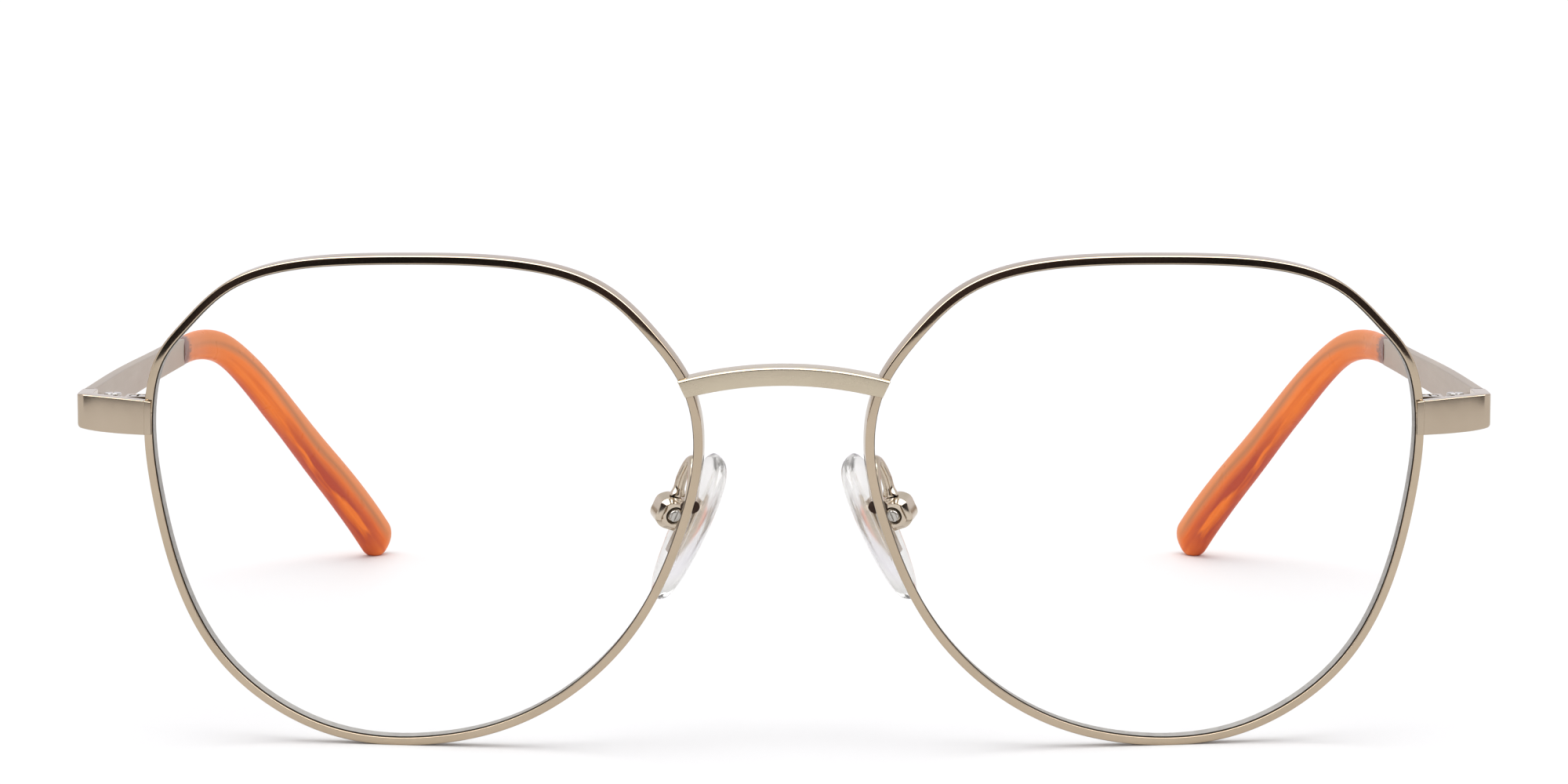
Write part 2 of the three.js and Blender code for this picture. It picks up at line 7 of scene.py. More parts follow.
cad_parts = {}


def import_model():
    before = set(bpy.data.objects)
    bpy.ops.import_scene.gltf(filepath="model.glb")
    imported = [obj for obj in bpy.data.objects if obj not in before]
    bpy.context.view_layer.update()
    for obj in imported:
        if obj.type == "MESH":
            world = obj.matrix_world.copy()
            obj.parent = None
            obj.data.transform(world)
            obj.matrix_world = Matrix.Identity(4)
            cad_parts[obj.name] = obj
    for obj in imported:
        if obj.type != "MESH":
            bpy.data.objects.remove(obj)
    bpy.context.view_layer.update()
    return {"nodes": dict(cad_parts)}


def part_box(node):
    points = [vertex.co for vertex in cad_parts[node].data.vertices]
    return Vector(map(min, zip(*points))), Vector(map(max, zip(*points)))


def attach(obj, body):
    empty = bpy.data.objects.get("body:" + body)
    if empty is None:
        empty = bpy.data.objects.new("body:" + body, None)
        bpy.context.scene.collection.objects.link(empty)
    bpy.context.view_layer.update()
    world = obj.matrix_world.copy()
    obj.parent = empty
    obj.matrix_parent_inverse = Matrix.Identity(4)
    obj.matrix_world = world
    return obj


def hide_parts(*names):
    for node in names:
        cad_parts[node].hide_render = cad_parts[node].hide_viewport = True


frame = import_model()

# Lengths below are millimetres. X is the wearer's left, Y runs back from the
# front of the glasses and Z is up. The middle of the front is at X = Y = 0.

# ------------------------------------------------------------------ dimensions

LENS_CENTRE_X = 35.0
LENS_CENTRE_Z = 24.35
FACE_TILT = math.radians(6)
FACE_WRAP = math.radians(7)
LENS_RADIUS = 150.0
LENS_CROWN = 2.2  # how far its middle bulges forwards
RIM_OUTLINE = [  # angle in degrees and distance from the lens's centre
    (0, 26.3), (14, 27.8), (26, 29.0), (36, 28.6), (48, 28.0), (61, 26.3),
    (75, 24.6), (90, 24.0), (105, 24.8), (119, 26.5), (131, 27.8), (143, 28.2),
    (156, 28.55), (169, 27.5), (183, 25.65), (202, 24.2), (223, 23.5), (246, 23.4),
    (270, 23.9), (294, 25.2), (318, 25.9), (340, 25.7),
]
HALF_RIM = 0.41
RIM_BACK = 0.9
RIM_CROWN = 0.007
RIM_LEAN = 0.055  # slope of the front face on the upper outer bend
GROOVE_DEPTH = 0.4
HALF_GROOVE = 0.475
RIM_SPLIT = 1.22 / 22  # where it is parted, as a part of the way round
RIM_SPLIT_HALF = 0.0002
HALF_LENS = 0.6
LENS_EDGE = -0.5  # of its clear faces, from the rim's outline
LENS_BEVEL = [(-0.44, -0.44), (-0.2, 0), (-0.44, 0.44)]  # offset and depth
LENS_SCALES = (0.1, 0.22, 0.34, 0.46, 0.58, 0.7, 0.82, 0.92, 1)  # of a face's rings
LENS_SIDES = 176

BRIDGE_RISE = 13.2
BRIDGE_RADIUS = 38.0
HALF_BRIDGE_HEIGHT = 0.9
BRIDGE_FRONT = -4.1
BRIDGE_BACK = -1.9

END_BEND = (66.5, 68.9)  # X at which the end piece starts and ends its bend
END_NOD = 0.06  # how far its face leans forwards at the top and back below

HINGE_X = 66.0
HINGE_Y = 8.1
HINGE_BOTTOM = 30.75
KNUCKLE_HEIGHT = 0.86
KNUCKLE_STEP = 0.98
KNUCKLE_RADIUS = 1.05
PIN_HOLE_RADIUS = 0.53
HINGE_TOP = HINGE_BOTTOM + 2 * KNUCKLE_STEP + KNUCKLE_HEIGHT
LEAF_INNER_X = 66.9
LEAF_FACE_X = 67.3
LEAF_ENDS_Y = (5.5, 11.6)
# How far the leaves stay from the hinge's axis, along Y
LEAF_REACH = math.sqrt((KNUCKLE_RADIUS + 0.15) ** 2 - (LEAF_INNER_X - HINGE_X) ** 2)
LOCK_SCREW = (63.15, 5.225)
LOCK_Z = (30.95, 34.05)
SCREW_POINT = 0.15
SCREW_PITCH = 0.22
SCREW_THREAD_DEPTH = 0.05
SCREW_DOME = 0.12
HALF_SCREW_SLOT = 0.12
SCREW_SLOT_DEPTH = 0.2

TEMPLE_ROUTE = [
    (68.3, 8.25, 32.68), (68.5, 34, 31.95), (68.35, 60, 31.05), (67.9, 80, 30.5),
    (67.3, 87, 30.35), (66.2, 91, 30.0), (64.8, 95, 28.85), (62.65, 101, 25.45),
    (59.75, 108.5, 19.95), (56.8, 115.5, 14.25), (54.1, 121, 9.45), (51.8, 125.4, 5.15),
    (50.4, 127.85, 2.3),
]
SLEEVE_START_Y = 77.5  # where the tip takes over from the blade
HALF_BLADE = 0.55
BLADE_HEIGHTS = (1.7, 1.5)  # half heights, at the hinge and at the tip's sleeve
HALF_CORE = 0.35
CORE_HEIGHTS = (0.85, 0.55)
CORE_END = 0.954  # as a part of the route
TIP_ACROSS = (0.72, 1.35)  # half widths, at the sleeve and where it has swollen
TIP_TALL = (1.6, 2.15)
TIP_PADDLE = (0.15, 0.36)  # added towards the end
TIP_CAP = 2.4  # length of its rounded end

PAD_CENTRE = Vector((9.6, 5.85, 21.05))
PAD_UP = Vector((-0.407, -0.12, 0.905)).normalized()
PAD_SPLAY = math.radians(20)
PAD_SCREW = (1.0, -2.15)  # up the pad, and away from the nose
PAD_LENGTHS = (7.8, 7.9)  # up and down from the pad's centre
PAD_HALF_WIDTH = 3.3
PAD_TAPER = 0.25
PAD_BELLY = 0.1  # height of its widest layer
PAD_BACK = -0.6
PAD_FACE = 1.55
PAD_ARM_ROOT = 13.82 / 22  # as a part of the way round the rim
PAD_ARM_RADIUS = 0.48

CAMERA_PLACE = Vector((0, -470, 89.18))
CAMERA_PITCH = math.radians(6.5787)
CAMERA_LENS = 112.37
HALF_FLOOR = 4000
FLAG_DISTANCE = 310
FLAG_HALF_WIDTH = 420
FLAG_TOP = 160
FLAG_GAP = (110, 30, 14)  # under its middle: half width at the floor, at the top, height
SOFTBOX_HALF_WIDTH = 500
SOFTBOX_NEAR = (-400, 220)  # Y and Z of its lower edge
SOFTBOX_FAR = (-50, 620)
SOFTBOX_STRENGTH = 3.6

MERGE_DISTANCE = 0.0001

# The left hinge screw shows where the part's own frame has the front.
low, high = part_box("hinge_screw_left")
FRONT_TO_FRAME = Vector((0, 500 * (low.y + high.y) - HINGE_Y, 0))


# --------------------------------------------------------------------- curves

def blend(x, start, end):
    s = min(max((x - start) / (end - start), 0), 1)
    return s * s * (3 - 2 * s)


def between(a, b, s):
    return a + (b - a) * s


def steps(start, end, count):
    return [between(start, end, i / count) for i in range(count + 1)]


def hermite(a, b, slope_a, slope_b, s):
    point = (a * (2 * s ** 3 - 3 * s ** 2 + 1) + slope_a * (s ** 3 - 2 * s ** 2 + s)
             + b * (3 * s ** 2 - 2 * s ** 3) + slope_b * (s ** 3 - s ** 2))
    slope = (a * (6 * s * s - 6 * s) + slope_a * (3 * s * s - 4 * s + 1)
             + b * (6 * s - 6 * s * s) + slope_b * (3 * s * s - 2 * s))
    return point, slope


class Ring:
    """Closed curve of even curvature through some points."""

    def __init__(self, points):
        self.points = points
        count = len(points)
        self.slopes = [(points[(i + 1) % count] - points[i - 1]) / 2 for i in range(count)]
        for _ in range(60):
            for i in range(count):
                sides = self.slopes[i - 1] + self.slopes[(i + 1) % count]
                self.slopes[i] = (3 * (points[(i + 1) % count] - points[i - 1]) - sides) / 4

    def at(self, t):
        place = (t % 1) * len(self.points)
        i = int(place) % len(self.points)
        j = (i + 1) % len(self.points)
        return hermite(
            self.points[i], self.points[j], self.slopes[i], self.slopes[j], place - int(place))


class Route:
    """Open curve through some points, evened out and measured along its length."""

    def __init__(self, points, evenness, count=400):
        points = [Vector(p) for p in points]
        ends = [2 * points[0] - points[1], *points, 2 * points[-1] - points[-2]]
        slopes = [(ends[i + 2] - ends[i]) / 2 for i in range(len(points))]
        fine = []
        for i in range(len(points) - 1):
            for k in range(60):
                fine.append(hermite(
                    points[i], points[i + 1], slopes[i], slopes[i + 1], k / 60)[0])
        fine.append(points[-1])
        self.samples = self.spread(fine, count)
        for _ in range(evenness):
            s = self.samples
            inner = [(s[i - 1] + 2 * s[i] + s[i + 1]) / 4 for i in range(1, count)]
            self.samples = [s[0], *inner, s[-1]]
        self.samples = self.spread(self.samples, count)
        self.length = sum(
            (b - a).length for a, b in zip(self.samples, self.samples[1:]))

    @staticmethod
    def spread(fine, count):
        reach = [0.0]
        for a, b in zip(fine, fine[1:]):
            reach.append(reach[-1] + (b - a).length)
        samples = []
        k = 0
        for i in range(count + 1):
            goal = reach[-1] * i / count
            while k < len(fine) - 2 and reach[k + 1] < goal:
                k += 1
            samples.append(fine[k].lerp(fine[k + 1], (goal - reach[k]) / (reach[k + 1] - reach[k])))
        return samples

    def point(self, part):
        last = len(self.samples) - 1
        place = min(max(part, 0), 1) * last
        i = min(int(place), last - 1)
        return self.samples[i].lerp(self.samples[i + 1], place - i)

    def along(self, part):
        half = 0.6 / len(self.samples)
        return (self.point(part + half) - self.point(part - half)).normalized()


# --------------------------------------------------------------------- shapes

def rounded(corners, radii, count=5):
    """Polygon with each corner rounded off, for flat or solid points."""
    points = []
    for i, corner in enumerate(corners):
        radius = radii[i] if isinstance(radii, (list, tuple)) else radii
        before, after = corners[i - 1] - corner, corners[(i + 1) % len(corners)] - corner
        start = corner + before.normalized() * min(radius, 0.45 * before.length)
        end = corner + after.normalized() * min(radius, 0.45 * after.length)
        for k in range(count):
            s = k / (count - 1)
            points.append(start * (1 - s) ** 2 + corner * 2 * s * (1 - s) + end * s * s)
    return points


def rectangle(half_across, half_up, radius, count=5):
    a, u = half_across, half_up
    return rounded([Vector(p) for p in ((a, -u), (a, u), (-a, u), (-a, -u))], radius, count)


def rounded_section(half_across, half_up, sides=40, power=0.8):
    section = []
    for i in range(sides):
        angle = 2 * math.pi * (i + 0.5) / sides
        c, s = math.cos(angle), math.sin(angle)
        section.append(Vector((
            half_across * math.copysign(abs(c) ** power, c),
            half_up * math.copysign(abs(s) ** power, s))))
    return section


def outward(points, faces):
    volume = 0
    for face in faces:
        a = points[face[0]]
        for i in range(1, len(face) - 1):
            volume += a.dot(points[face[i]].cross(points[face[i + 1]]))
    return faces if volume > 0 else [tuple(reversed(face)) for face in faces]


def loft(rings, start=None, end=None):
    """Skin over a row of rings, closed by flat ends or by end points."""
    sides = len(rings[0])
    points = [point for ring in rings for point in ring]
    faces = []
    for i in range(len(rings) - 1):
        for j in range(sides):
            k = (j + 1) % sides
            faces.append((
                i * sides + j, (i + 1) * sides + j, (i + 1) * sides + k, i * sides + k))
    last = (len(rings) - 1) * sides
    for tip, base, turn in ((start, 0, 1), (end, last, -1)):
        loop = [base + j for j in range(sides)][::turn]
        if tip is None:
            faces.append(tuple(loop))
        else:
            points.append(tip)
            faces.extend(
                (len(points) - 1, loop[j], loop[(j + 1) % sides]) for j in range(sides))
    return points, outward(points, faces)


def box(x, y, z):
    rings = [
        [Vector((x[i], y[j], level)) for i, j in ((0, 0), (1, 0), (1, 1), (0, 1))] for level in z]
    return loft(rings)


def turned(profile, sides=48):
    """Solid turned round the Z axis from (radius, height) pairs between two points on it."""
    rings = []
    for radius, height in profile[1:-1]:
        rings.append([
            Vector((
                radius * math.cos(2 * math.pi * i / sides),
                radius * math.sin(2 * math.pi * i / sides), height))
            for i in range(sides)])
    return loft(rings, Vector((0, 0, profile[0][1])), Vector((0, 0, profile[-1][1])))


def post(x, y, radius, z, sides=48):
    points, faces = turned([(0, z[0]), (radius, z[0]), (radius, z[1]), (0, z[1])], sides)
    return [point + Vector((x, y, 0)) for point in points], faces


def moved(shape, matrix):
    return [matrix @ point for point in shape[0]], shape[1]


def mesh_of(name, shape, mirror=1):
    """Mesh in metres and in the part's frame, mirrored for the right side by -1."""
    points, faces = shape
    places = []
    for p in points:
        places.append(((Vector((mirror * p.x, p.y, p.z)) + FRONT_TO_FRAME) / 1000)[:])
    if mirror < 0:
        faces = [tuple(reversed(face)) for face in faces]
    mesh = bpy.data.meshes.new(name)
    mesh.from_pydata(places, [], faces)
    return mesh


def combine(shape, others, operation):
    """Union of a shape with others, or its difference from them."""
    collection = bpy.context.scene.collection
    work = []
    for i, (points, faces) in enumerate([shape, *others]):
        mesh = bpy.data.meshes.new(f"work_{i}")
        mesh.from_pydata([point[:] for point in points], [], faces)
        obj = bpy.data.objects.new(f"work_{i}", mesh)
        collection.objects.link(obj)
        work.append(obj)
    for other in work[1:]:
        modifier = work[0].modifiers.new("combine", "BOOLEAN")
        modifier.operation = operation
        modifier.solver = "EXACT"
        modifier.object = other
    graph = bpy.context.evaluated_depsgraph_get()
    result = bpy.data.meshes.new_from_object(work[0].evaluated_get(graph))
    clean = bmesh.new()
    clean.from_mesh(result)
    bmesh.ops.remove_doubles(clean, verts=clean.verts, dist=MERGE_DISTANCE)
    bmesh.ops.dissolve_limit(
        clean, angle_limit=math.radians(0.5), verts=clean.verts, edges=clean.edges)
    clean.verts.index_update()
    points = [vert.co.copy() for vert in clean.verts]
    faces = [tuple(vert.index for vert in face.verts) for face in clean.faces]
    clean.free()
    for obj in work:
        mesh = obj.data
        bpy.data.objects.remove(obj)
        bpy.data.meshes.remove(mesh)
    bpy.data.meshes.remove(result)
    return points, outward(points, faces)


# -------------------------------------------------------------- the lens plane

def front_point(x, behind, above):
    """Place in space from one on the front, whose top leans forwards."""
    return Vector((
        x,
        behind * math.cos(FACE_TILT) - above * math.sin(FACE_TILT),
        LENS_CENTRE_Z + above * math.cos(FACE_TILT) + behind * math.sin(FACE_TILT)))


outline = Ring([
    Vector((r * math.cos(math.radians(a)), r * math.sin(math.radians(a)))) for a, r in RIM_OUTLINE])


def outline_point(t, offset):
    """Point of the rim's outline, moved outwards, at a part of the way round."""
    point, slope = outline.at(t)
    slope.normalize()
    return Vector((point.x + slope.y * offset, point.y - slope.x * offset))


def lens_point(t, offset, depth, scale=1):
    """The same on the left lens's curved and wrapped surface, at a depth behind it."""
    flat = outline_point(t, offset) * scale
    sag = LENS_RADIUS - math.sqrt(LENS_RADIUS ** 2 - flat.length_squared)
    w = depth + sag - LENS_CROWN
    return front_point(
        LENS_CENTRE_X + flat.x * math.cos(FACE_WRAP) - w * math.sin(FACE_WRAP),
        flat.x * math.sin(FACE_WRAP) + w * math.cos(FACE_WRAP), flat.y)


# Angle and distance, from the lens's centre, of points on the rim's inner edge
inner_edge = sorted(
    (math.atan2(p.y, p.x), p.length)
    for p in (outline_point(i / 720, -HALF_RIM) for i in range(720)))


def in_opening(x, behind, above):
    """Whether a place on the front is inside the left rim's inner edge."""
    u = (x - LENS_CENTRE_X) * math.cos(FACE_WRAP) + behind * math.sin(FACE_WRAP)
    angle = math.atan2(above, u)
    nearest = min(inner_edge, key=lambda entry: abs(entry[0] - angle))
    return math.hypot(u, above) < nearest[1]


# ------------------------------------------------------------------- the front

def rim():
    """Wire with a groove for the lens inside, parted where the lock clamps it."""
    corners = [Vector(p) for p in (
        (HALF_RIM, -RIM_BACK), (HALF_RIM, RIM_BACK), (-HALF_RIM, RIM_BACK),
        (-HALF_RIM, HALF_GROOVE), (-HALF_RIM + GROOVE_DEPTH, 0), (-HALF_RIM, -HALF_GROOVE),
        (-HALF_RIM, -RIM_BACK))]
    section = rounded(corners, [0.15, 0.2, 0.1, 0.05, 0.08, 0.05, 0.1], 7)
    inner, outer = section[-1].x, section[0].x
    section += [Vector((between(inner, outer, i / 8), -RIM_BACK)) for i in range(1, 8)]
    for p in section:
        if p.y < -HALF_GROOVE:
            p.y -= RIM_CROWN * (1 - (p.x / HALF_RIM) ** 2)
    rings = []
    for t in steps(RIM_SPLIT + RIM_SPLIT_HALF, RIM_SPLIT + 1 - RIM_SPLIT_HALF, 396):
        place = t * len(RIM_OUTLINE)  # counted in the outline's points
        lean = RIM_LEAN * blend(place, 1.3, 2.3) * (1 - blend(place, 3.5, 5.5))
        rings.append([lens_point(t, p.x, p.y + lean * p.x) for p in section])
    for point in (p for ring in rings for p in ring):
        point.z = max(point.z, 0)
    return loft(rings)


def lens():
    """Bulging disc whose bevelled edge sits in the rim's groove."""
    front = [(LENS_EDGE, -HALF_LENS, scale) for scale in LENS_SCALES]
    back = [(LENS_EDGE, HALF_LENS, scale) for scale in reversed(LENS_SCALES)]
    rows = [*front, *LENS_BEVEL, *back]
    rings = [[lens_point(i / LENS_SIDES, *row) for i in range(LENS_SIDES)] for row in rows]
    return loft(
        rings, lens_point(0, LENS_EDGE, -HALF_LENS, 0), lens_point(0, LENS_EDGE, HALF_LENS, 0))


def bridge_place(x, up, behind):
    """Place on the front, from one along and up from the bridge's bent middle line."""
    drop = BRIDGE_RADIUS - math.sqrt(BRIDGE_RADIUS ** 2 - x * x)
    lean = x / BRIDGE_RADIUS
    return x + up * lean, behind, BRIDGE_RISE - drop + up * math.sqrt(1 - lean * lean)


def bridge():
    """Flat strip over the nose, which ends where it meets the rims' inner edges."""
    middle = (BRIDGE_FRONT + BRIDGE_BACK) / 2
    deep = (BRIDGE_BACK - BRIDGE_FRONT) / 2
    corners = [Vector(p) for p in (
        (-HALF_BRIDGE_HEIGHT, -deep), (-HALF_BRIDGE_HEIGHT, deep),
        (HALF_BRIDGE_HEIGHT, deep), (HALF_BRIDGE_HEIGHT, -deep))]
    section = rounded(corners, [0.14, 0.3, 0.3, 0.26])
    inset = rounded([0.92 * corner for corner in corners], [0.14, 0.3, 0.3, 0.2])
    reach = []
    for p in section:
        near, far = 9.0, 13.0
        for _ in range(24):
            x = (near + far) / 2
            if in_opening(*bridge_place(x, p.x, middle + p.y)):
                far = x
            else:
                near = x
        reach.append(near)
    rings = []
    for s in [-1, *steps(-0.993, 0.993, 64), 1]:
        ring = inset if abs(s) == 1 else section
        rings.append([
            front_point(*bridge_place(s * end, p.x, middle + p.y))
            for p, end in zip(ring, reach)])
    return loft(rings)


def end_piece():
    """Strip from the rim's front, round the corner, to the hinge.

    Rows: front face x and y, back face x and y, middle height, height.
    """
    rows = [
        (61.45, 1.31, 61.45, 2.7, 32.25, 3.24), (62.02, 1.46, 62.02, 2.8, 32.27, 3.28),
        (62.08, 1.47, 62.08, 2.85, 32.27, 3.3), (62.14, 1.4, 62.14, 2.9, 32.28, 3.38),
        (62.2, 1.42, 62.2, 2.95, 32.28, 3.38),
        (64.6, 2.15, 64.17, 3.5, 32.37, 3.5), (67.5, 3.02, 66.7, 4.27, 32.56, 3.5),
        (68.75, 3.4, 67.45, 4.62, 32.68, 3.42), (69.0, 4.3, 67.45, 5.3, 32.68, 3.4),
        (69.0, 8.0, 67.45, 8.0, 32.68, 3.4),
    ]
    rows = [Vector(row) for row in rows]
    for _ in range(3):
        cut = [rows[0]]
        for a, b in zip(rows, rows[1:]):
            cut += [a * 0.75 + b * 0.25, a * 0.25 + b * 0.75]
        rows = [*cut, rows[-1]]
    rings = []
    for fx, fy, bx, by, middle, height in rows:
        turn = blend(fx, *END_BEND)
        nod = END_NOD * (1 - turn)
        corners = [
            Vector((fx, fy + nod, middle - height / 2)), Vector((bx, by, middle - height / 2)),
            Vector((bx, by, middle + height / 2)), Vector((fx, fy - nod, middle + height / 2))]
        rings.append(rounded(corners, [0.12 + 0.4 * turn, 0.12, 0.12, 0.12 + 0.06 * turn], 6))
    return loft(rings)


def upright_screw(x, y, bottom, head_bottom, head_top, radius, head_radius):
    """Slotted screw with a threaded shaft and a rounded head."""
    shaft = bottom + SCREW_POINT
    profile = [(0, bottom), (radius * 0.75, bottom), (radius, shaft)]
    height = head_bottom - 0.12 - shaft
    turns = max(int(height / SCREW_PITCH), 1)
    for i in range(turns):
        z = shaft + height * i / turns
        profile += [(radius, z + 0.06), (radius - SCREW_THREAD_DEPTH, z + 0.12)]
    profile += [(radius, head_bottom - 0.02), (head_radius - 0.03, head_bottom)]
    profile += [(head_radius, head_bottom + 0.04), (head_radius, head_top - SCREW_DOME)]
    for i in range(1, 6):
        angle = math.pi / 2 * i / 6
        profile.append((
            head_radius - SCREW_DOME * (1 - math.cos(angle)),
            head_top - SCREW_DOME * (1 - math.sin(angle))))
    profile += [(head_radius - SCREW_DOME - 0.05, head_top), (0, head_top + 0.02)]
    points, faces = turned(profile)
    screw = [point + Vector((x, y, 0)) for point in points], faces
    slot = box(
        (x - HALF_SCREW_SLOT, x + HALF_SCREW_SLOT), (y - 2, y + 2),
        (head_top - SCREW_SLOT_DEPTH, head_top + 1))
    return combine(screw, [slot], "DIFFERENCE")


def rim_lock_screw():
    return upright_screw(*LOCK_SCREW, LOCK_Z[0], LOCK_Z[1] - 0.37, LOCK_Z[1] - 0.02, 0.5, 0.8)


def hinge_screw():
    return upright_screw(
        HINGE_X, HINGE_Y, HINGE_BOTTOM, HINGE_TOP + 0.1, HINGE_TOP + 0.42, 0.45, 0.85)


def knuckle(level, y):
    """Barrel on the hinge's axis and the web that joins it to its leaf."""
    z = HINGE_BOTTOM + level * KNUCKLE_STEP
    z = (z, z + KNUCKLE_HEIGHT)
    return [post(HINGE_X, HINGE_Y, KNUCKLE_RADIUS, z), box((HINGE_X, LEAF_FACE_X), y, z)]


def pin_hole():
    return post(HINGE_X, HINGE_Y, PIN_HOLE_RADIUS, (HINGE_BOTTOM - 1, HINGE_TOP + 1))


def hinge_front_leaf():
    """Plate with the outer two knuckles, fixed to the end piece."""
    plate = box(
        (LEAF_INNER_X, LEAF_FACE_X + 0.2), (LEAF_ENDS_Y[0], HINGE_Y - LEAF_REACH),
        (HINGE_BOTTOM, HINGE_TOP))
    web = (HINGE_Y - KNUCKLE_RADIUS, HINGE_Y - 0.15)
    leaf = combine(plate, knuckle(0, web) + knuckle(2, web), "UNION")
    return combine(leaf, [pin_hole()], "DIFFERENCE")


def hinge_temple_leaf():
    """Plate with the middle knuckle, fixed to the temple."""
    plate = box(
        (LEAF_INNER_X, LEAF_FACE_X + 0.5), (HINGE_Y + LEAF_REACH, LEAF_ENDS_Y[1]),
        (HINGE_BOTTOM, HINGE_TOP))
    web = (HINGE_Y + 0.15, HINGE_Y + KNUCKLE_RADIUS)
    leaf = combine(plate, knuckle(1, web), "UNION")
    return combine(leaf, [pin_hole()], "DIFFERENCE")


# ----------------------------------------------------------------- the temples

temple_route = Route(TEMPLE_ROUTE, 50)


def part_at(y):
    """Part of the temple's route at which it is that far behind the front."""
    near, far = 0, 1
    for _ in range(40):
        middle = (near + far) / 2
        if temple_route.point(middle).y < y:
            near = middle
        else:
            far = middle
    return near


SLEEVE_START = part_at(SLEEVE_START_Y)


def temple_ring(part, section):
    """Section, as points across and up, placed square to the temple's route."""
    middle = temple_route.point(part)
    along = temple_route.along(part)
    across = -Vector((0, 0, 1)).cross(along).normalized()
    up = across.cross(along)
    return [middle + across * p.x + up * p.y for p in section]


def temple():
    """Flat blade, and the thinner core that runs on inside the tip."""
    rings = []
    for part in steps(0, SLEEVE_START, 70):
        tall = between(*BLADE_HEIGHTS, blend(part / SLEEVE_START, 0.05, 0.9))
        rings.append(temple_ring(part, rectangle(HALF_BLADE, tall, 0.17)))
    for point in rings[0]:
        point.y = TEMPLE_ROUTE[0][1]
    for part in steps(SLEEVE_START, CORE_END, 60):
        tall = between(*CORE_HEIGHTS, (part - SLEEVE_START) / (CORE_END - SLEEVE_START))
        rings.append(temple_ring(part, rectangle(HALF_CORE, tall, 0.12)))
    return loft(rings)


def tip_section(part, start):
    """Section of the tip at a part of the route, for a tip that starts at another."""
    grown = (part - start) / (1 - start)
    swell = blend(grown, 0.05, 0.55)
    paddle = blend(grown, 0.55, 0.95)
    collar = 1 - 0.06 * (1 - blend(grown, 0, 0.008))
    return rounded_section(
        (between(*TIP_ACROSS, swell) + TIP_PADDLE[0] * paddle) * collar,
        (between(*TIP_TALL, swell) + TIP_PADDLE[1] * paddle) * collar)


def temple_tip():
    """Sleeve that swells into a paddle with a rounded end."""
    start = SLEEVE_START - 0.25 / temple_route.length
    parts = [start, start + 0.0008, start + 0.002, *steps(start + 0.004, 1, 120)]
    rings = [temple_ring(part, tip_section(part, start)) for part in parts]
    onward = temple_route.along(1)
    last = tip_section(1, start)
    for i in range(1, 16):
        angle = math.pi / 2 * i / 16
        ring = temple_ring(1, [p * math.cos(angle) for p in last])
        rings.append([point + onward * TIP_CAP * math.sin(angle) for point in ring])
    end = temple_route.point(1) + onward * TIP_CAP
    for point in [p for ring in rings for p in ring]:
        point.z = max(point.z, 0)
    return loft(rings, temple_route.point(start), end)


# --------------------------------------------------------------- the nose pads

pad_face = Vector((-math.cos(PAD_SPLAY), math.sin(PAD_SPLAY), 0))
pad_face = (pad_face - PAD_UP * pad_face.dot(PAD_UP)).normalized()
pad_back = pad_face.cross(PAD_UP)
PAD_FRAME = Matrix((
    (PAD_UP.x, pad_back.x, pad_face.x, PAD_CENTRE.x),
    (PAD_UP.y, pad_back.y, pad_face.y, PAD_CENTRE.y),
    (PAD_UP.z, pad_back.z, pad_face.z, PAD_CENTRE.z),
    (0, 0, 0, 1)))

# From an upright axis to that of the pad's screw
LYING = Matrix.Translation((PAD_SCREW[0], 0, PAD_SCREW[1])) @ Matrix.Rotation(math.pi / 2, 4, "X")


def nose_pad():
    """Teardrop cushion, built of layers from its back to the face on the nose."""
    def ring(width, length, z):
        layer = []
        for p in rounded_section(1, 1, 56, 0.72):
            reach = PAD_LENGTHS[0] if p.x > 0 else PAD_LENGTHS[1]
            taper = 1 + PAD_TAPER * min(p.x, 0)
            layer.append(Vector((p.x * reach * length, p.y * PAD_HALF_WIDTH * width * taper, z)))
        return layer

    rings = []
    for i in range(1, 9):
        angle = math.pi / 2 * (1 - i / 9)
        c = math.cos(angle)
        rings.append(ring(c ** 0.6, c ** 0.35, between(PAD_BELLY, PAD_BACK, math.sin(angle))))
    for i in range(12):
        angle = math.pi / 2 * i / 12
        c = math.cos(angle)
        rings.append(ring(c ** 0.75, c ** 0.4, between(PAD_BELLY, PAD_FACE, math.sin(angle))))
    pad = loft(rings, Vector((0, 0, PAD_BACK)), Vector((0, 0, PAD_FACE)))
    return moved(pad, PAD_FRAME)


def pad_core():
    """Plate inside the pad, with a window and the lug that the screw passes through."""
    x, z = PAD_SCREW
    plate = box((-3.3, 3.3), (-1.3, 1.3), (-0.1, 0.3))
    neck = box((x - 0.7, x + 0.7), (-0.5, 0.5), (z, 0.1))
    eye = moved(post(0, 0, 0.85, (-0.5, 0.5)), LYING)
    hole = moved(post(0, 0, 0.4, (-2, 2)), LYING)
    window = box((-2.4, -0.7), (-0.5, 0.5), (-1, 1))
    core = combine(plate, [neck, eye], "UNION")
    return moved(combine(core, [hole, window], "DIFFERENCE"), PAD_FRAME)


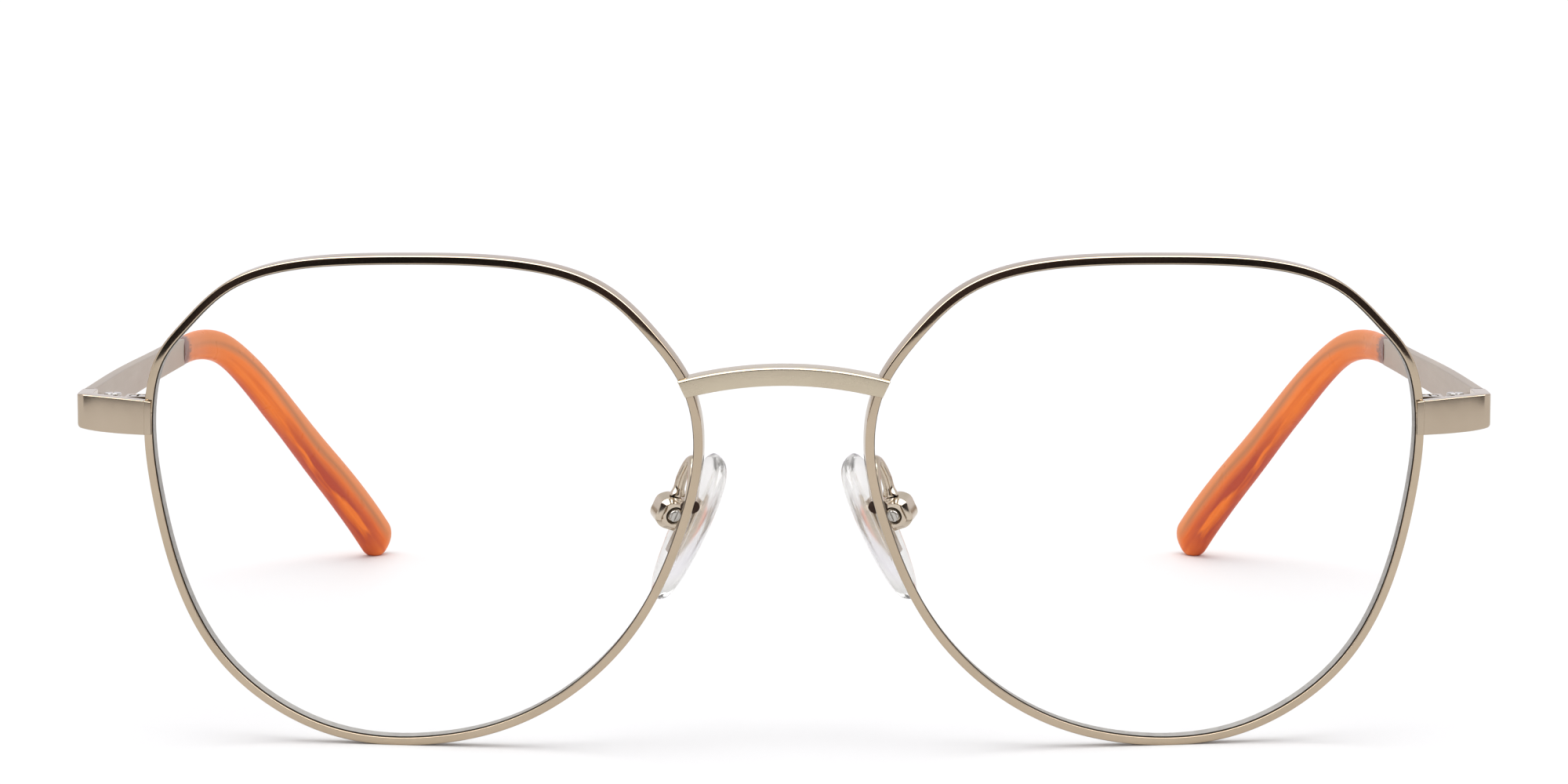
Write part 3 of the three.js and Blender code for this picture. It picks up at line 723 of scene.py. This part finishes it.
def pad_box():
    """Faceted cup: a rounded block with cut front edges and a dish for the screw."""
    x = PAD_SCREW[0]
    middle = Vector((x, 0, -2.5))
    corners = [Vector((x + across, 0, level)) for across, level in (
        (-1.65, -1.25), (-1.65, -3.0), (-0.95, -3.9), (0.95, -3.9), (1.65, -3.0), (1.65, -1.25))]
    profile = rounded(corners, [0.2, 0.5, 0.45, 0.45, 0.5, 0.2], 6)
    rings = []
    for y, scale in ((-1.2, 0.7), (-1.14, 0.76), (-0.72, 1), (0.9, 1), (1.14, 0.86), (1.2, 0.8)):
        rings.append([middle + (p - middle) * scale + Vector((0, y, 0)) for p in profile])
    block = loft(rings)
    slot = box((x - 1.25, x + 1.25), (-0.65, 0.65), (-3.2, 0))
    hole = moved(post(0, 0, 0.46, (-2, 2)), LYING)
    dish = moved(turned([(0, 0.9), (0.68, 0.9), (0.78, 1.0), (1.0, 1.3), (0, 1.3)]), LYING)
    return moved(combine(block, [slot, hole, dish], "DIFFERENCE"), PAD_FRAME)


def pad_screw():
    """Slotted screw with a domed head, across the pad's box."""
    profile = [(0, -1.1), (0.3, -1.1), (0.38, -1.02), (0.38, 1.0), (0.6, 1.0), (0.62, 1.03)]
    for i in range(6):
        angle = math.pi / 2 * i / 6
        profile.append((0.62 * math.cos(angle), 1.2 + 0.2 * math.sin(angle)))
    profile.append((0, 1.4))
    screw = turned(profile, 40)
    slot = box((-1, 1), (-0.1, 0.1), (1.22, 2))
    return moved(combine(screw, [slot], "DIFFERENCE"), PAD_FRAME @ LYING)


def pad_arm():
    """Wire from the back of the rim, up and over, down to the pad box."""
    root = lens_point(PAD_ARM_ROOT, 0, RIM_BACK + 0.1)
    end = PAD_FRAME @ Vector((PAD_SCREW[0] + 1.75, -0.1, PAD_SCREW[1] - 0.2))
    crown = Vector((9.1, 4.0, 27.8))
    route = Route([
        root, (9.1, -0.4, 24.0), (8.8, 1.6, 25.9), (8.75, 3.0, 27.6), crown,
        (crown + end) / 2 + Vector((0.15, 0.1, 0.2)), end], 12, 120)
    side = Vector((1, 0, 0))
    rings = []
    for part in steps(0, 1, 100):
        along = route.along(part)
        side = (side - along * side.dot(along)).normalized()
        other = along.cross(side)
        solder = 0.22 * (1 - blend(part, 0, 0.06)) + 0.2 * blend(part, 0.92, 1)
        radius = PAD_ARM_RADIUS + solder
        rings.append([
            route.point(part) + (side * 1.35 * math.cos(a) + other * math.sin(a)) * radius
            for a in (2 * math.pi * j / 24 for j in range(24))])
    return loft(rings)


# ------------------------------------------------------------------- materials

class Nodes:
    """A new node material with one Principled shader."""

    def __init__(self, name):
        self.material = bpy.data.materials.new(name)
        self.material.use_nodes = True
        self.tree = self.material.node_tree
        self.shader = self.tree.nodes["Principled BSDF"]
        self.place = self.add("ShaderNodeTexCoord").outputs["Object"]

    def add(self, kind, **settings):
        node = self.tree.nodes.new(kind)
        for key, value in settings.items():
            setattr(node, key, value)
        return node

    def link(self, source, target):
        self.tree.links.new(source, target)

    def noise(self, scale, detail=3, roughness=0.5, stretch=None, source=None):
        node = self.add("ShaderNodeTexNoise")
        node.inputs["Scale"].default_value = scale
        node.inputs["Detail"].default_value = detail
        node.inputs["Roughness"].default_value = roughness
        place = source or self.place
        if stretch:
            mapping = self.add("ShaderNodeMapping")
            mapping.inputs["Scale"].default_value = stretch
            self.link(place, mapping.inputs["Vector"])
            place = mapping.outputs["Vector"]
        self.link(place, node.inputs["Vector"])
        return node.outputs["Fac"]

    def ramp(self, value, *stops):
        node = self.add("ShaderNodeValToRGB")
        ramp = node.color_ramp
        while len(ramp.elements) < len(stops):
            ramp.elements.new(0.5)
        for element, (position, colour) in zip(ramp.elements, stops):
            element.position = position
            element.color = (*colour, 1)
        self.link(value, node.inputs["Fac"])
        return node.outputs["Color"]

    def maths(self, operation, value, other=None):
        node = self.add("ShaderNodeMath", operation=operation)
        self.link(value, node.inputs[0])
        if isinstance(other, bpy.types.NodeSocket):
            self.link(other, node.inputs[1])
        elif other is not None:
            node.inputs[1].default_value = other
        return node.outputs["Value"]

    def span(self, value, low, high, start=0.3, end=0.7):
        node = self.add("ShaderNodeMapRange")
        node.inputs["From Min"].default_value = start
        node.inputs["From Max"].default_value = end
        node.inputs["To Min"].default_value = low
        node.inputs["To Max"].default_value = high
        self.link(value, node.inputs["Value"])
        return node.outputs["Result"]

    def mix(self, factor, a, b):
        node = self.add("ShaderNodeMix", data_type="RGBA")
        self.link(factor, node.inputs["Factor"])
        for socket, value in (("A", a), ("B", b)):
            target = next(s for s in node.inputs if s.name == socket and s.type == "RGBA")
            if isinstance(value, tuple):
                target.default_value = (*value, 1)
            else:
                self.link(value, target)
        return next(s for s in node.outputs if s.type == "RGBA")

    def bump(self, height, strength, distance):
        node = self.add("ShaderNodeBump")
        node.inputs["Strength"].default_value = strength
        node.inputs["Distance"].default_value = distance
        self.link(height, node.inputs["Height"])
        self.link(node.outputs["Normal"], self.shader.inputs["Normal"])

    def set(self, **values):
        for key, value in values.items():
            socket = self.shader.inputs[key.replace("_", " ").title().replace("Ior", "IOR")]
            if isinstance(value, bpy.types.NodeSocket):
                self.link(value, socket)
            elif isinstance(value, tuple):
                socket.default_value = (*value, 1)
            else:
                socket.default_value = value


def metal(name, light, dark, roughness, grain=(1, 1, 1), edge_tint=1.0, metallic=1.0):
    """Polished metal with a faint clouding, rub marks and fine drawn lines."""
    m = Nodes(name)
    clouding = m.noise(140, 3, 0.6)
    m.set(
        base_color=m.ramp(clouding, (0.3, dark), (0.7, light)),
        metallic=metallic, specular_tint=(edge_tint, edge_tint, edge_tint),
        roughness=m.span(m.noise(900, 4, 0.6, grain), roughness * 0.88, roughness * 1.15))
    m.bump(m.noise(2600, 3, 0.6, grain), 0.05, 0.000004)
    return m.material


def lens_glass():
    """Clear plastic: see-through, with a weak glossy surface that shows faint smears.
    Only a ray that enters is mirrored, because the see-through shader doesn't bend it."""
    m = Nodes("lens_glass")
    clear = m.add("ShaderNodeBsdfTransparent")
    clear.inputs["Color"].default_value = (0.994, 0.995, 0.993, 1)
    gloss = m.add("ShaderNodeBsdfAnisotropic")
    gloss.inputs["Color"].default_value = (0.9, 0.94, 0.96, 1)
    m.link(m.span(m.noise(60, 4, 0.65), 0.02, 0.09), gloss.inputs["Roughness"])
    fresnel = m.add("ShaderNodeFresnel")
    fresnel.inputs["IOR"].default_value = 1.07
    entering = m.maths("LESS_THAN", m.add("ShaderNodeNewGeometry").outputs["Backfacing"], 0.5)
    mix = m.add("ShaderNodeMixShader")
    m.link(m.maths("MULTIPLY", fresnel.outputs["Fac"], entering), mix.inputs["Fac"])
    m.link(clear.outputs["BSDF"], mix.inputs[1])
    m.link(gloss.outputs["BSDF"], mix.inputs[2])
    m.link(mix.outputs["Shader"], m.tree.nodes["Material Output"].inputs["Surface"])
    m.tree.nodes.remove(m.shader)
    return m.material


def ground_edge():
    """Edge of a lens, ground matt to fit its groove."""
    m = Nodes("ground_edge")
    m.set(
        base_color=m.ramp(m.noise(800, 3), (0.3, (0.33, 0.315, 0.295)), (0.7, (0.4, 0.385, 0.36))),
        roughness=m.span(m.noise(1500, 3), 0.4, 0.6))
    m.bump(m.noise(2500, 3), 0.3, 0.00001)
    return m.material


def silicone():
    """Clear silicone with a slight milkiness, painted shade darkening it towards its outline, and a
    moulded skin.
    """
    m = Nodes("silicone")
    weight = m.add("ShaderNodeLayerWeight")
    weight.inputs["Blend"].default_value = 0.5
    # Painted shade: the colour turns a darker grey where the surface is seen edge-on, towards the
    # pad's outline.
    edge = m.ramp(weight.outputs["Facing"], (0.45, (0, 0, 0)), (0.95, (1, 1, 1)))
    body = m.ramp(m.noise(260, 3), (0.3, (0.9, 0.89, 0.87)), (0.7, (0.95, 0.945, 0.93)))
    m.set(
        base_color=m.mix(edge, body, (0.5, 0.48, 0.45)),
        roughness=m.span(m.noise(300, 3), 0.05, 0.1),
        transmission_weight=0.9, ior=1.36, coat_weight=0.6, coat_roughness=0.05)
    m.bump(m.noise(160, 2), 0.06, 0.00003)
    return m.material


def acetate():
    """Orange acetate laid in streaks: red along the lower edge, pale along the inner one,
    the core wire showing through as a brown line, and red blotches towards the end."""
    m = Nodes("acetate")
    route = m.add("ShaderNodeUVMap", uv_map="route").outputs["UV"]
    parts = m.add("ShaderNodeSeparateXYZ")
    m.link(route, parts.inputs["Vector"])
    along = parts.outputs["X"]
    circle = m.add("ShaderNodeCombineXYZ")
    m.link(along, circle.inputs["X"])
    turn = m.maths("MULTIPLY", parts.outputs["Y"], 2 * math.pi)
    m.link(m.maths("COSINE", turn), circle.inputs["Y"])
    m.link(m.maths("SINE", turn), circle.inputs["Z"])
    circle = circle.outputs["Vector"]
    sway = m.span(m.noise(1, 1, 0.4, (4, 0.25, 0.25), circle), -0.014, 0.014)
    around = m.maths("ADD", parts.outputs["Y"], sway)
    off, most, on = (0, 0, 0), (0.85, 0.85, 0.85), (1, 1, 1)

    streaks = m.noise(1, 3, 0.5, (5, 2.5, 2.5), circle)
    colour = m.ramp(
        streaks, (0.3, (0.68, 0.13, 0.03)), (0.45, (0.78, 0.175, 0.033)),
        (0.6, (0.84, 0.205, 0.038)), (0.75, (0.84, 0.24, 0.058)))
    pale = m.ramp(around, (0.22, off), (0.36, on), (0.45, on), (0.52, off))
    colour = m.mix(pale, colour, (0.74, 0.255, 0.095))
    core = m.ramp(around, (0.44, off), (0.475, (0.8, 0.8, 0.8)), (0.51, off))
    core_ends = m.ramp(along, (0.02, (0.5, 0.5, 0.5)), (0.3, on), (0.86, on), (0.92, off))
    colour = m.mix(m.mix(core_ends, off, core), colour, (0.44, 0.18, 0.085))
    red = m.ramp(around, (0.64, off), (0.76, on), (0.88, on), (0.98, off))
    red_ends = m.ramp(along, (0.1, off), (0.35, most), (0.8, most), (0.95, off))
    colour = m.mix(m.mix(red_ends, off, red), colour, (0.5, 0.08, 0.035))
    blotches = m.noise(1, 2, 0.5, (7, 1.4, 1.4), circle)
    spots = m.ramp(blotches, (0.4, off), (0.52, on))
    late = m.ramp(along, (0.45, off), (0.62, on), (0.84, on), (0.94, off))
    facing = m.ramp(around, (0.5, off), (0.57, on), (0.75, on), (0.85, off))
    spotted = m.mix(late, off, facing)
    colour = m.mix(m.mix(spotted, off, spots), colour, (0.46, 0.075, 0.04))
    early = m.ramp(along, (0.0, (0.9, 0.9, 0.9)), (0.3, off))
    colour = m.mix(early, colour, (0.62, 0.215, 0.085))
    ragged = m.maths("ADD", along, m.span(m.noise(1, 4, 0.7, (40, 9, 9), circle), -0.02, 0.02))
    glue = m.ramp(ragged, (0.045, on), (0.075, off))
    colour = m.mix(glue, colour, (0.2, 0.11, 0.095))
    m.set(
        base_color=colour, roughness=m.span(m.noise(500, 4), 0.26, 0.4),
        subsurface_weight=0.05, subsurface_scale=0.0006)
    m.shader.inputs["Specular IOR Level"].default_value = 0.08
    m.shader.inputs["Subsurface Radius"].default_value = (1.0, 0.35, 0.15)
    m.bump(m.noise(200, 1), 0.04, 0.00003)
    return m.material


# --------------------------------------------------------------------- pieces

def shown(name, mesh, material, body, nodes, bevel=None):
    """One finished piece on its body, in place of the named nodes."""
    mesh.shade_smooth()
    mesh.set_sharp_from_angle(angle=math.radians(38))
    obj = bpy.data.objects.new(name, mesh)
    bpy.context.scene.collection.objects.link(obj)
    obj.data.materials.append(material)
    if bevel:
        edges = obj.modifiers.new("edges", "BEVEL")
        edges.width = bevel / 1000
        edges.segments = 3
        edges.limit_method = "ANGLE"
        edges.angle_limit = math.radians(35)
        edges.use_clamp_overlap = True
        edges.harden_normals = True
    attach(obj, body)
    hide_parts(*nodes)
    return obj


def pair(kind, shape, material, body, bevel=None, uv=None, band=None):
    """Left piece and its mirror image. Each point may have a UV, and a band of faces
    may have a second material: (material, first face, face after the last)."""
    for side, mirror in (("left", 1), ("right", -1)):
        name = f"{kind}_{side}"
        mesh = mesh_of(f"{name}_look", shape, mirror)
        if uv:
            layer = mesh.uv_layers.new(name="route")
            for face in mesh.polygons:
                places = {i: uv[mesh.loops[i].vertex_index] for i in face.loop_indices}
                top = max(y for x, y in places.values())
                for i, (x, y) in places.items():
                    over_seam = top - y > 0.5
                    layer.data[i].uv = (x, y + 1 if over_seam else y)
        own = body if body == "front" else f"{body}_{side}"
        obj = shown(f"{name}_look", mesh, material, own, [name], bevel=bevel)
        if band:
            second, first_face, end_face = band
            obj.data.materials.append(second)
            for face in obj.data.polygons[first_face:end_face]:
                face.material_index = 1


rim_metal = metal("rim_metal", (0.5, 0.405, 0.3), (0.45, 0.365, 0.265), 0.07, edge_tint=0.9)
# The bridge's plating is the frame's metal given a lighter tone: painted light, standing in for the
# brighter reflection on its face.
bridge_metal_painted_lighter = metal("bridge_metal_painted_lighter", (0.53, 0.46, 0.35), (0.5, 0.43, 0.325), 0.26, (0.2, 1, 1))
end_metal = metal("end_metal", (0.46, 0.38, 0.292), (0.42, 0.345, 0.26), 0.15)
temple_metal = metal(
    "temple_metal", (0.53, 0.46, 0.385), (0.5, 0.43, 0.36), 0.36, (1, 0.08, 1), 0.7, 0.9)
pad_metal = metal("pad_metal", (0.6, 0.52, 0.42), (0.5, 0.42, 0.33), 0.1)
steel = metal("steel", (0.55, 0.53, 0.5), (0.42, 0.4, 0.37), 0.2)

tip_shape = temple_tip()
tip_sides = 40
tip_rings = (len(tip_shape[0]) - 2) // tip_sides
tip_uv = [(i / (tip_rings - 1), j / tip_sides) for i in range(tip_rings) for j in range(tip_sides)]
tip_uv += [(0, 0.5), (1, 0.5)]  # the points that close its two ends

shown("bridge_look", mesh_of("bridge_look", bridge()), bridge_metal_painted_lighter, "front", ["bridge"])
pair("rim", rim(), rim_metal, "front")
bevel_start = (len(LENS_SCALES) - 1) * LENS_SIDES
bevel_end = bevel_start + (len(LENS_BEVEL) + 1) * LENS_SIDES
pair("lens", lens(), lens_glass(), "front", band=(ground_edge(), bevel_start, bevel_end))
pair("end_piece", end_piece(), end_metal, "front")
pair("rim_lock_screw", rim_lock_screw(), steel, "front")
pair("hinge_screw", hinge_screw(), steel, "front")
pair("hinge_front_leaf", hinge_front_leaf(), end_metal, "front", bevel=0.06)
pair("hinge_temple_leaf", hinge_temple_leaf(), temple_metal, "temple", bevel=0.06)
pair("temple", temple(), temple_metal, "temple")
pair("temple_tip", tip_shape, acetate(), "temple", uv=tip_uv)
pair("pad_arm", pad_arm(), pad_metal, "front")
pair("pad_box", pad_box(), pad_metal, "front", bevel=0.25)
pair("pad_screw", pad_screw(), steel, "front")
pair("pad_core", pad_core(), pad_metal, "nose_pad", bevel=0.1)
pair("nose_pad", nose_pad(), silicone(), "nose_pad")

for name in ("rim_lock_upper", "rim_lock_lower"):
    for side in ("left", "right"):
        node = frame["nodes"][f"{name}_{side}"]
        for slot in node.material_slots:
            slot.material = end_metal


# -------------------------------------------------------- floor, light, camera

def floor():
    """Pale plain floor."""
    h = HALF_FLOOR / 1000
    mesh = bpy.data.meshes.new("floor")
    mesh.from_pydata([(-h, -h, 0), (h, -h, 0), (h, h, 0), (-h, h, 0)], [], [(0, 1, 2, 3)])
    obj = bpy.data.objects.new("floor", mesh)
    bpy.context.scene.collection.objects.link(obj)
    m = Nodes("floor_white")
    m.set(
        base_color=m.ramp(m.noise(6, 2), (0.3, (0.8, 0.8, 0.8)), (0.7, (0.81, 0.81, 0.81))),
        roughness=0.6)
    m.shader.inputs["Specular IOR Level"].default_value = 0.1
    mesh.materials.append(m.material)


def reflected_panel(name, corners, material):
    """Panel that nothing but polished faces sees."""
    mesh = bpy.data.meshes.new(name)
    mesh.from_pydata(
        [((Vector(corner) + FRONT_TO_FRAME) / 1000)[:] for corner in corners],
        [], [tuple(range(len(corners)))])
    obj = bpy.data.objects.new(name, mesh)
    bpy.context.scene.collection.objects.link(obj)
    for kind in ("camera", "diffuse", "shadow", "transmission", "volume_scatter"):
        setattr(obj, f"visible_{kind}", False)
    mesh.materials.append(material)


def flag():
    """Black panel in front of the glasses, for the dark band along the upper rims."""
    m = Nodes("flag_black")
    m.set(
        base_color=(0.0, 0.0, 0.0), roughness=1.0, emission_strength=1.0,
        emission_color=m.ramp(
            m.noise(9, 3), (0.4, (0.001, 0.0005, 0.0005)), (0.7, (0.05, 0.03, 0.03))))
    w = FLAG_HALF_WIDTH
    foot, crown, height = FLAG_GAP
    edge = (
        (-w, 0), (-foot, 0), (-crown, height), (crown, height), (foot, 0), (w, 0),
        (w, FLAG_TOP), (-w, FLAG_TOP))
    reflected_panel("flag", [(x, -FLAG_DISTANCE, z) for x, z in edge], m.material)


def softbox():
    """White panel above the camera, for the bright line along the polished edges."""
    m = Nodes("softbox_white")
    m.set(
        base_color=(0.8, 0.8, 0.8), roughness=0.8, emission_strength=SOFTBOX_STRENGTH,
        emission_color=m.ramp(m.noise(4, 2), (0.3, (0.96, 0.96, 0.97)), (0.7, (1, 1, 1))))
    w = SOFTBOX_HALF_WIDTH
    corners = [
        (-w, *SOFTBOX_NEAR), (w, *SOFTBOX_NEAR), (w, *SOFTBOX_FAR), (-w, *SOFTBOX_FAR)]
    reflected_panel("softbox", corners, m.material)


def world():
    """White surroundings, brightest a little above the horizon."""
    sky = bpy.data.worlds.new("sky")
    bpy.context.scene.world = sky
    sky.use_nodes = True
    nodes, links = sky.node_tree.nodes, sky.node_tree.links
    place = nodes.new("ShaderNodeTexCoord")
    parts = nodes.new("ShaderNodeSeparateXYZ")
    ramp = nodes.new("ShaderNodeValToRGB")
    links.new(place.outputs["Generated"], parts.inputs["Vector"])
    links.new(parts.outputs["Z"], ramp.inputs["Fac"])
    links.new(ramp.outputs["Color"], nodes["Background"].inputs["Color"])
    stops = (
        (0.0, (0.86, 0.83, 0.83)), (0.12, (0.94, 0.92, 0.95)), (0.3, (1.0, 0.99, 1.07)),
        (0.5, (0.98, 0.97, 1.0)), (0.7, (0.85, 0.85, 0.85)))
    while len(ramp.color_ramp.elements) < len(stops):
        ramp.color_ramp.elements.new(0.5)
    for element, (position, colour) in zip(ramp.color_ramp.elements, stops):
        element.position = position
        element.color = (*colour, 1)


def overhead_light():
    """One broad light, for soft pale shadows."""
    light = bpy.data.lights.new("overhead", "SUN")
    light.energy = 1.4
    light.angle = math.radians(56)
    obj = bpy.data.objects.new("overhead", light)
    obj.rotation_euler = (math.radians(8), math.radians(-4), 0)
    bpy.context.scene.collection.objects.link(obj)


def camera():
    """The photograph's viewpoint."""
    view = bpy.data.cameras.new("camera")
    view.lens = CAMERA_LENS
    view.sensor_width = 36
    view.clip_start = 0.01
    obj = bpy.data.objects.new("camera", view)
    obj.location = (CAMERA_PLACE + FRONT_TO_FRAME) / 1000
    obj.rotation_euler = (math.pi / 2 - CAMERA_PITCH, 0, 0)
    bpy.context.scene.collection.objects.link(obj)
    bpy.context.scene.camera = obj


floor()
flag()
softbox()
world()
overhead_light()
camera()
bpy.context.scene.view_settings.view_transform = "Standard"
